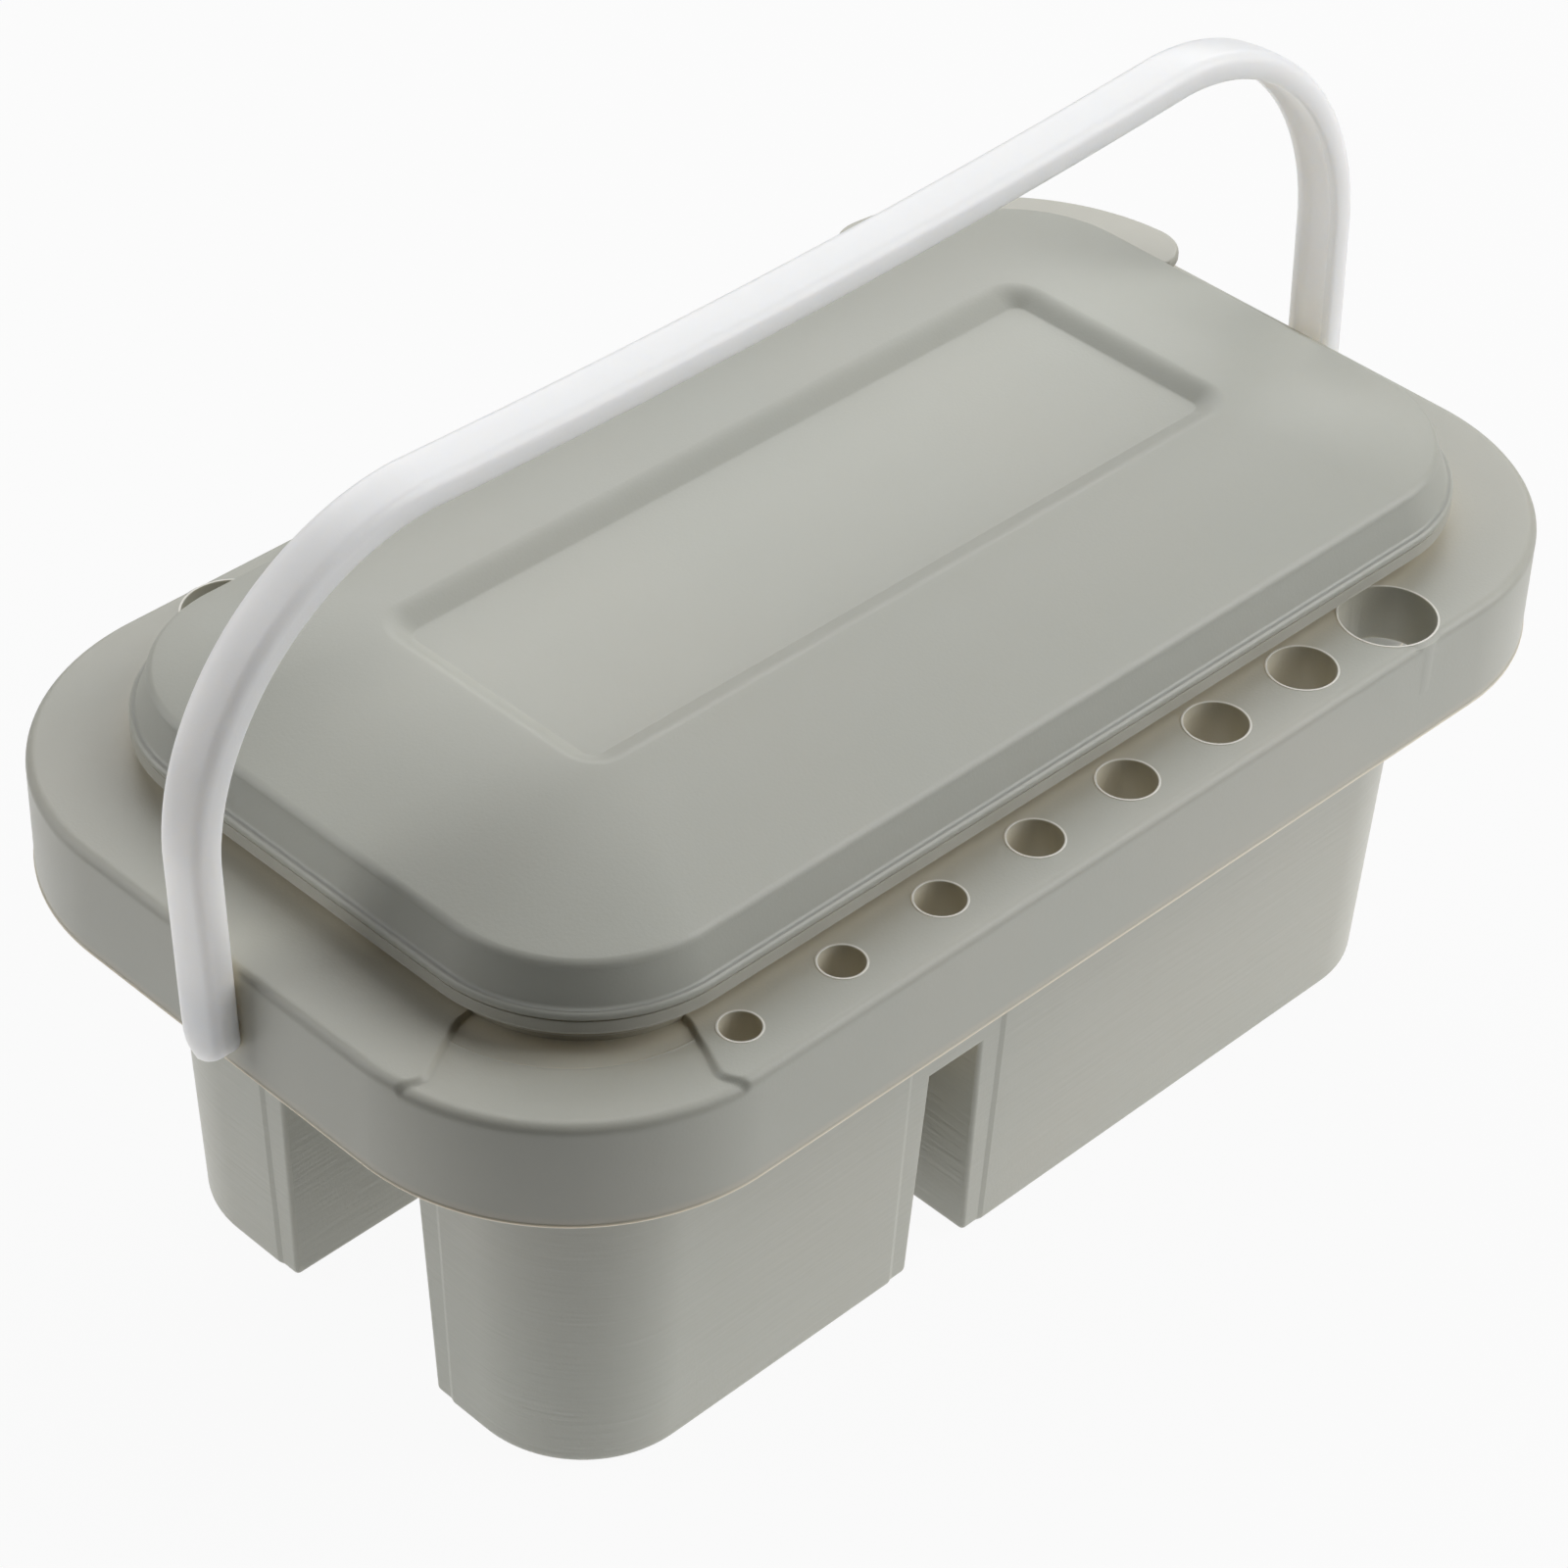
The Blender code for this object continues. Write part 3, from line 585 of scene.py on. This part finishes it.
def lid_profile(drop):
    """Rings from the wall's foot over the dome to the panel's floor."""
    grow = FLANGE_OUT - LID_FOOT
    base_x, base_y, base_r = TUB_X + grow, TUB_Y + grow, TUB_CORNER + grow
    rings = []

    def add(inset, z):
        rings.append(lid_ring(base_x - inset, base_y - inset, base_r - inset, z, drop))

    if drop:
        add(LIP_IN, LIP_TOP)
    else:
        for s, c in arc(4):
            add(WALL_FILLET * (s - 1) + LIP_IN, LIP_TOP + WALL_FILLET * (1 - c))
    wall_low, wall_top = LIP_TOP + WALL_FILLET, CREASE - FOLD
    for k in range(1, 4):
        share = k / 4
        add(LIP_IN + (WALL_LEAN - LIP_IN) * share, wall_low + (wall_top - wall_low) * share)
    for k in range(9):
        angle = FOLD_TURN * k / 8
        add(WALL_LEAN + FOLD * (1 - math.cos(angle)), wall_top + FOLD * math.sin(angle))
    far = WALL_LEAN + FOLD * (1 - math.cos(FOLD_TURN))
    high = wall_top + FOLD * math.sin(FOLD_TURN)
    start = (base_x - far, base_y - far, base_r - far)
    stop = (PANEL_X + EDGE_X, PANEL_Y + EDGE_Y, EDGE_CORNER)
    for k in range(1, DOME_STEPS + 1):
        share = k / DOME_STEPS
        swell = math.sin(share * math.pi / 2) * SWELL_SHARE + share * (1 - SWELL_SHARE)
        half_x, half_y, corner = (a + (b - a) * share for a, b in zip(start, stop))
        rings.append(lid_ring(half_x, half_y, corner, high + (LID_TOP - high) * swell, drop))
    sink = (LID_TOP - PANEL_FLOOR) * SINK_SHARE
    panel = (PANEL_X, PANEL_Y, PANEL_CORNER)
    for k in range(1, 13):
        share = k / 12
        fall = smooth(0.0, 1.0, share) * FALL_SHARE + share * share * (1 - FALL_SHARE)
        half_x, half_y, corner = (a + (b - a) * share for a, b in zip(stop, panel))
        rings.append(lid_ring(half_x, half_y, corner, LID_TOP - sink * fall, drop))
    return rings


rings = list(reversed(lid_profile(0.0)))
rings += [flange(LIP_FOLD * (1 - s), LIP_TOP - LIP_FOLD * (1 - c)) for s, c in arc(5)]
rings += [flange(0.0, LID_LOW + 0.15), flange(0.05, LID_LOW + 0.05), flange(0.2, LID_LOW)]
rings.append(flange(LIP_UNDER, LID_LOW))
rings += lid_profile(LID_WALL)
lid = skin("lid_body", rings)
finish_shading(lid, 60.0)
print("lid faces:", len(lid.data.polygons))

# %% [markdown]
# ## The bail handle
# The handle is a flat band, bent once at each shoulder, that sags a little in
# the middle. It is swept as one skin along its middle line. At each foot the
# band closes in a round end below the pivot. Its outer edges are broadly
# rounded and its inner face is hollowed a little. The whole bail leans back by
# about two degrees, and it is twisted by about four from one foot to the other.

# %% Handle
BAND, THICK, FOOT_GAP, EAR, EAR_UP = 9.8, 5.2, 0.4, 4.1, 1.6
BAND_EDGE, CROWN, HOLLOW = 2.0, 0.14, 1.2
STUD_RADIUS, STUD_HEAD, STUD_START = 2.9, 3.9, 1.2
STUD_IN, STUD_TIP = 127.9, 126.3
LEAN, TILT, TWIST = 0.041, math.radians(1.8), math.radians(2.1)
FOOT_STEPS, LEG_STEPS, BEND_STEPS, BAR_STEPS = 16, 14, 36, 20
FOOT_START = math.radians(4.0)


def bail_line():
    """Middle line of half the bail as (out, up, width), from the ear's tip up."""
    foot = RIM_X + FOOT_GAP + THICK / 2
    bend = REACH - BEND
    shoulder = foot + LEAN * bend
    line = []
    for k in range(FOOT_STEPS + 1):
        angle = FOOT_START + (math.pi / 2 - FOOT_START) * k / FOOT_STEPS
        line.append((foot, EAR_UP - EAR * math.cos(angle), BAND * math.sin(angle)))
    for k in range(1, LEG_STEPS + 1):
        up = EAR_UP + (bend - EAR_UP) * k / LEG_STEPS
        line.append((foot + LEAN * up, up, BAND))
    run = shoulder - BEND
    for k in range(1, BEND_STEPS + 1):
        angle = math.pi / 2 * k / BEND_STEPS
        line.append((run + BEND * math.cos(angle), bend + BEND * math.sin(angle), BAND))
    for k in range(1, BAR_STEPS + 1):
        share = 1 - k / BAR_STEPS
        line.append((run * share, REACH - SAG * (1 - share * share), BAND))
    return line


def band_section(width):
    """Section of the band as (outwards, across) pairs for one width."""
    half, face, squeeze = width / 2, THICK / 2, min(1.0, width / BAND)
    edge, brow = BAND_EDGE * squeeze, face - CROWN
    right = [(face, half * 0.08), (face - 0.06, half * 0.4), (brow, half - edge)]
    for k in range(1, 7):
        angle = math.pi / 2 * k / 6
        right.append((brow - edge * (1 - math.cos(angle)), half - edge * (1 - math.sin(angle))))
    for out, back_in in ((1.0, 0.0), (0.5, 0.08), (0.15, 0.3), (0.0, 0.65)):
        right.append((out - face, half - back_in * squeeze))
    right += [(-face, half * 0.7), (0.15 - face, half * 0.62), (0.8 - face, half * 0.5)]
    right += [(HOLLOW - 0.1 - face, half * 0.35), (HOLLOW - face, half * 0.12)]
    left = [(out, -across) for out, across in reversed(right)]
    return right + left


half_line = bail_line()
line = [(-x, up, width) for x, up, width in half_line] + list(reversed(half_line[:-1]))
rings = []
for index, (x, up, width) in enumerate(line):
    before, after = line[max(index - 1, 0)], line[min(index + 1, len(line) - 1)]
    along = Vector((after[0] - before[0], after[1] - before[1])).normalized()
    if up <= EAR_UP:
        along = Vector((0.0, 1.0 if x < 0 else -1.0))
    outward = Vector((-along.y, along.x))
    lean = Matrix.Rotation(-TILT - TWIST * x / RIM_X, 3, "X")
    ring = []
    for out, across in band_section(width):
        point = lean @ Vector((x + out * outward.x, across, up + out * outward.y))
        ring.append((point.x, point.y, point.z + PIVOT))
    rings.append(ring)
band = skin("band", rings)
studs = []
for side in (-1, 1):
    steps = ((STUD_RADIUS, RIM_X + STUD_START), (STUD_RADIUS, STUD_IN))
    steps += ((STUD_HEAD, STUD_IN), (STUD_RADIUS, STUD_TIP))
    studs.append(lying("stud", [(radius, side * out) for radius, out in steps]))
handle = join("handle_bail", [band] + studs)
finish_shading(handle, 40.0)
print("handle faces:", len(handle.data.polygons))

# %% [markdown]
# ## Plastic
# Moulded polypropylene isn't one flat colour. Light enters it a little and comes
# out nearby, which softens shadows and brightens thin edges. Its colour drifts
# faintly over a hand's width, and its satin gloss comes from a very fine grain.
# The walls of the tub also carry faint level ripples from the mould. In a narrow hollow the light has
# passed through more plastic and turns warm, so a warmer, lighter colour is painted into the plastic
# as a painted glow wherever an ambient occlusion node finds a hollow. Thin level bands carry painted
# light as well: a painted glow and a painted highlight line along the skirt's lower edge, a painted
# highlight on the holes' lips, and a painted shadow on the tub's collar under the tray's flange. One
# function makes all four finishes from a colour and a few strengths.

# %% Materials
PLASTIC_INDEX, SCATTER = 1.49, (1.0, 0.92, 0.82)
DRIFT_SCALE, GLOSS_SCALE, GRAIN_SCALE, GRAIN_HIGH = 14.0, 60.0, 1800.0, 0.12
# Painted glow in hollows: the ambient occlusion's reach, its open and closed shares, and the heights
# over which the glow comes in.
CLOSE_BY, OPEN_SHARE, CLOSED_SHARE = 15.0, 0.84, 0.24
TINT_LOW, TINT_FULL = 6.0, 30.0
RIPPLE_TOP, RIPPLE_FULL, RIPPLE_HIGH, RIPPLE_SCALE = 74.0, 66.0, 0.4, (60.0, 60.0, 900.0)


def ramp(tree, source, low, high, to_low=0.0, to_high=1.0):
    """Clamped straight map of a value, from low to high, onto to_low to to_high."""
    node = tree.nodes.new("ShaderNodeMapRange")
    node.inputs["From Min"].default_value = low
    node.inputs["From Max"].default_value = high
    node.inputs["To Min"].default_value = to_low
    node.inputs["To Max"].default_value = to_high
    tree.links.new(source, node.inputs["Value"])
    return node.outputs["Result"]


def blend(tree, factor, base, color):
    """Colour that goes from base, a colour or a socket, to a plain colour."""
    node = tree.nodes.new("ShaderNodeMix")
    node.data_type = "RGBA"
    if isinstance(base, tuple):
        node.inputs["A"].default_value = (*base, 1.0)
    else:
        tree.links.new(base, node.inputs["A"])
    node.inputs["B"].default_value = (*color, 1.0)
    tree.links.new(factor, node.inputs["Factor"])
    return node.outputs["Result"]


def noise(tree, place, scale, detail):
    """Noise value at a place, with its size and detail."""
    node = tree.nodes.new("ShaderNodeTexNoise")
    node.inputs["Scale"].default_value = scale
    node.inputs["Detail"].default_value = detail
    tree.links.new(place, node.inputs["Vector"])
    return node.outputs["Fac"]


def height_band(tree, height, middle, half):
    """Factor that is 1 in a thin level band about a height in mm, and 0 elsewhere."""
    offset = tree.nodes.new("ShaderNodeMath")
    offset.operation = "SUBTRACT"
    offset.inputs[1].default_value = middle * MM
    tree.links.new(height, offset.inputs[0])
    away = tree.nodes.new("ShaderNodeMath")
    away.operation = "ABSOLUTE"
    tree.links.new(offset.outputs["Value"], away.inputs[0])
    return ramp(tree, away.outputs["Value"], half * MM, half * MM * 0.5)


def hollow_glow_share(tree, height):
    """Share of the painted glow: nears 1 deep in a narrow hollow, and 0 in the open or near the table.
    """
    open_air = tree.nodes.new("ShaderNodeAmbientOcclusion")
    open_air.samples = 6
    open_air.inputs["Distance"].default_value = CLOSE_BY * MM
    both = tree.nodes.new("ShaderNodeMath")
    both.operation = "MULTIPLY"
    tree.links.new(ramp(tree, open_air.outputs["AO"], OPEN_SHARE, CLOSED_SHARE), both.inputs[0])
    tree.links.new(ramp(tree, height, TINT_LOW * MM, TINT_FULL * MM), both.inputs[1])
    return both.outputs["Value"]


def relief(tree, height, distance, normal=None):
    """Bump node that raises a value by a distance in mm, over an earlier bump if given."""
    node = tree.nodes.new("ShaderNodeBump")
    node.inputs["Distance"].default_value = distance * MM
    tree.links.new(height, node.inputs["Height"])
    if normal is not None:
        tree.links.new(normal, node.inputs["Normal"])
    return node


def plastic(name, color, warm, rough, grain, glow, depth, hollow, ripple=0.0, edges=()):
    """Procedural moulded plastic with drift, grain, ripples and soft depth in mm; hollow is the
    painted glow colour for hollows, and edges are level bands of painted highlight, glow or shadow.
    """
    finish = bpy.data.materials.new(name)
    finish.use_nodes = True
    tree = finish.node_tree
    shader = tree.nodes["Principled BSDF"]
    place = tree.nodes.new("ShaderNodeTexCoord").outputs["Object"]
    split = tree.nodes.new("ShaderNodeSeparateXYZ")
    tree.links.new(place, split.inputs["Vector"])
    height = split.outputs["Z"]

    drift = ramp(tree, noise(tree, place, DRIFT_SCALE, 3.0), 0.35, 0.65)
    surface = blend(tree, drift, color, warm)
    # Painted glow in hollows, then the level bands of painted highlight, glow and shadow.
    surface = blend(tree, hollow_glow_share(tree, height), surface, hollow)
    for middle, half, lit in edges:
        surface = blend(tree, height_band(tree, height, middle, half), surface, lit)
    tree.links.new(surface, shader.inputs["Base Color"])

    gloss = noise(tree, place, GLOSS_SCALE, 4.0)
    tree.links.new(ramp(tree, gloss, 0.0, 1.0, rough - 0.05, rough + 0.05), shader.inputs["Roughness"])

    fine = relief(tree, noise(tree, place, GRAIN_SCALE, 2.0), GRAIN_HIGH)
    fine.inputs["Strength"].default_value = grain
    squash = tree.nodes.new("ShaderNodeMapping")
    squash.inputs["Scale"].default_value = RIPPLE_SCALE
    tree.links.new(place, squash.inputs["Vector"])
    waves = noise(tree, squash.outputs["Vector"], 1.0, 2.0)
    wavy = relief(tree, waves, RIPPLE_HIGH, fine.outputs["Normal"])
    below_rim = ramp(tree, height, RIPPLE_TOP * MM, RIPPLE_FULL * MM, 0.0, ripple)
    tree.links.new(below_rim, wavy.inputs["Strength"])
    tree.links.new(wavy.outputs["Normal"], shader.inputs["Normal"])

    shader.inputs["Subsurface Weight"].default_value = glow
    shader.inputs["Subsurface Radius"].default_value = SCATTER
    shader.inputs["Subsurface Scale"].default_value = depth * MM
    shader.inputs["IOR"].default_value = PLASTIC_INDEX
    return finish


# Painted glow colours for hollows: the bucket's, the lid's and tray's, and the handle's.
BUCKET_HOLLOW_GLOW, SHELL_HOLLOW_GLOW, LIT = (0.585, 0.54, 0.425), (0.46, 0.44, 0.38), (0.90, 0.89, 0.84)
# Painted light in level bands: a painted glow and a painted highlight line on the skirt's foot, a
# painted highlight on the holes' lips, and a painted shadow on the tub's collar under the tray's
# flange, listed below as (middle height, half width, colour).
SKIRT_GLOW, SKIRT_EDGE_HIGHLIGHT = (0.47, 0.45, 0.385), (0.74, 0.67, 0.54)
LIP_GLOW, COLLAR_SHADE = (0.72, 0.70, 0.64), (0.25, 0.25, 0.225)
PAINTED_BANDS = (
    (SKIRT_BOTTOM, 2.4, SKIRT_GLOW),
    (SKIRT_BOTTOM + 0.2, 0.6, SKIRT_EDGE_HIGHLIGHT),
    (DECK + 0.14, 0.10, LIP_GLOW),
    (TUB_TOP - 1.3, 1.6, COLLAR_SHADE),
)
grey = plastic(
    "grey_plastic", (0.405, 0.410, 0.366), (0.425, 0.420, 0.372),
    rough=0.42, grain=0.22, glow=0.5, depth=1.4, hollow=BUCKET_HOLLOW_GLOW, ripple=0.35, edges=PAINTED_BANDS,
)
lid_grey = plastic(
    "lid_plastic", (0.405, 0.412, 0.370), (0.418, 0.418, 0.372),
    rough=0.40, grain=0.20, glow=0.5, depth=1.2, hollow=SHELL_HOLLOW_GLOW,
)
tray_grey = plastic(
    "tray_plastic", (0.425, 0.420, 0.372), (0.438, 0.428, 0.374),
    rough=0.38, grain=0.20, glow=0.5, depth=1.0, hollow=SHELL_HOLLOW_GLOW,
)
white = plastic(
    "white_plastic", (0.745, 0.75, 0.765), (0.755, 0.76, 0.77),
    rough=0.33, grain=0.15, glow=1.0, depth=11.0, hollow=LIT,
)

for thing, body, node, slot, finish in (
    (bucket, "bucket", "bucket", "bucket_plastic", grey),
    (tray, "palette_tray", "palette_tray", "tray_plastic", tray_grey),
    (lid, "lid", "lid", "lid_plastic", lid_grey),
    (handle, "handle", "handle", "handle_plastic", white),
):
    thing.data.materials.clear()
    thing.data.materials.append(finish)
    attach(thing, body)
    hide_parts(node)

# %% [markdown]
# ## Floor, light and camera
# A product photo of a pale thing needs big soft lamps and a pale room. Three
# softboxes light the washer from the right, the left and the back, and a faint
# glow comes up from the table, as it does from a lit white sweep. The lamps stay
# at a plain level, so that each colour comes out about as it is written. The
# floor shows white to the camera but still takes the object's shadow. The
# camera stands where the photographer's did, which was worked out from the
# straight and round edges in the picture, and it is rolled by two degrees.

# %% Stage
FLOOR_HALF, FLOOR_DOWN, FLOOR_GREY, FLOOR_LIT = 4.0, 0.0004, 0.40, 0.94
SKY_COLOR, SKY_LEVEL = (0.98, 0.99, 1.0, 1.0), 0.01
LAMP_MIDDLE, LAMP_AWAY = Vector((0, 0, 0.08)), 1.4
LENS, SENSOR = 104.38, 36.0
CAMERA_AT = Vector((-0.4492, -0.4290, 0.5628))
CAMERA_TURN = tuple(math.radians(angle) for angle in (-45.921, 38.896, 1.967))


def floor_material():
    """Pale floor that the camera sees as white, darkened only by a shadow."""
    made = bpy.data.materials.new("pale_floor")
    made.use_nodes = True
    nodes, links = made.node_tree.nodes, made.node_tree.links
    nodes.clear()
    out = nodes.new("ShaderNodeOutputMaterial")
    plain = nodes.new("ShaderNodeBsdfDiffuse")
    plain.inputs["Color"].default_value = (FLOOR_GREY, FLOOR_GREY, FLOOR_GREY, 1.0)
    bright = nodes.new("ShaderNodeEmission")
    bright.inputs["Strength"].default_value = 1.0
    path = nodes.new("ShaderNodeLightPath")
    share = nodes.new("ShaderNodeMath")
    share.operation = "MULTIPLY"
    share.inputs[1].default_value = FLOOR_LIT
    links.new(path.outputs["Is Camera Ray"], share.inputs[0])
    mix = nodes.new("ShaderNodeMixShader")
    links.new(share.outputs["Value"], mix.inputs["Fac"])
    links.new(plain.outputs["BSDF"], mix.inputs[1])
    links.new(bright.outputs["Emission"], mix.inputs[2])
    links.new(mix.outputs["Shader"], out.inputs["Surface"])
    return made


ground = bpy.data.meshes.new("floor")
corners = [(x * FLOOR_HALF, y * FLOOR_HALF, 0) for x, y in ((-1, -1), (1, -1), (1, 1), (-1, 1))]
ground.from_pydata(corners, [], [(0, 1, 2, 3)])
floor = bpy.data.objects.new("floor", ground)
floor.location.z = -FLOOR_DOWN
floor.data.materials.append(floor_material())
bpy.context.scene.collection.objects.link(floor)

world = bpy.data.worlds.new("studio")
bpy.context.scene.world = world
world.use_nodes = True
nodes, links = world.node_tree.nodes, world.node_tree.links
sky = nodes["Background"]
sky.inputs["Color"].default_value = SKY_COLOR
sky.inputs["Strength"].default_value = SKY_LEVEL
seen = nodes.new("ShaderNodeBackground")
seen.inputs["Color"].default_value = (1.0, 1.0, 1.0, 1.0)
seen.inputs["Strength"].default_value = 1.0
path = nodes.new("ShaderNodeLightPath")
mix = nodes.new("ShaderNodeMixShader")
links.new(path.outputs["Is Camera Ray"], mix.inputs["Fac"])
links.new(sky.outputs["Background"], mix.inputs[1])
links.new(seen.outputs["Background"], mix.inputs[2])
links.new(mix.outputs["Shader"], nodes["World Output"].inputs["Surface"])


def softbox(name, bearing, elevation, size, power):
    """Area lamp placed by its bearing from +X towards +Y and its elevation."""
    data = bpy.data.lights.new(name, "AREA")
    data.shape = "RECTANGLE"
    data.size, data.size_y = size
    data.energy = power
    turn, rise = math.radians(bearing), math.radians(elevation)
    level = math.cos(rise)
    toward = Vector((math.cos(turn) * level, math.sin(turn) * level, math.sin(rise)))
    thing = bpy.data.objects.new(name, data)
    thing.location = LAMP_MIDDLE + LAMP_AWAY * toward
    thing.rotation_mode = "QUATERNION"
    thing.rotation_quaternion = toward.to_track_quat("Z", "Y")
    bpy.context.scene.collection.objects.link(thing)
    return thing


softbox("right_softbox", -45.0, 34.0, (0.9, 1.5), 17.7)
softbox("left_softbox", 135.0, 25.0, (0.9, 1.5), 9.8)
softbox("back_softbox", 45.0, 45.0, (1.6, 1.6), 16.3)
table_light = softbox("table_light", 0.0, -90.0, (0.5, 0.5), 0.58)
table_light.location = (0, 0, -FLOOR_DOWN / 2)
table_light.visible_camera = False

camera_data = bpy.data.cameras.new("camera")
camera_data.sensor_width = SENSOR
camera_data.lens = LENS
camera = bpy.data.objects.new("camera", camera_data)
azimuth, elevation, roll = CAMERA_TURN
back = Vector((
    math.sin(azimuth) * math.cos(elevation),
    -math.cos(azimuth) * math.cos(elevation),
    math.sin(elevation),
))
right = Vector((0, 0, 1)).cross(back).normalized()
up = back.cross(right)
rolled_right = math.cos(roll) * right + math.sin(roll) * up
rolled_up = -math.sin(roll) * right + math.cos(roll) * up
facing = Matrix((rolled_right, rolled_up, back)).transposed()
camera.matrix_world = Matrix.Translation(CAMERA_AT) @ facing.to_4x4()
bpy.context.scene.collection.objects.link(camera)
bpy.context.scene.camera = camera
bpy.context.scene.view_settings.view_transform = "Standard"
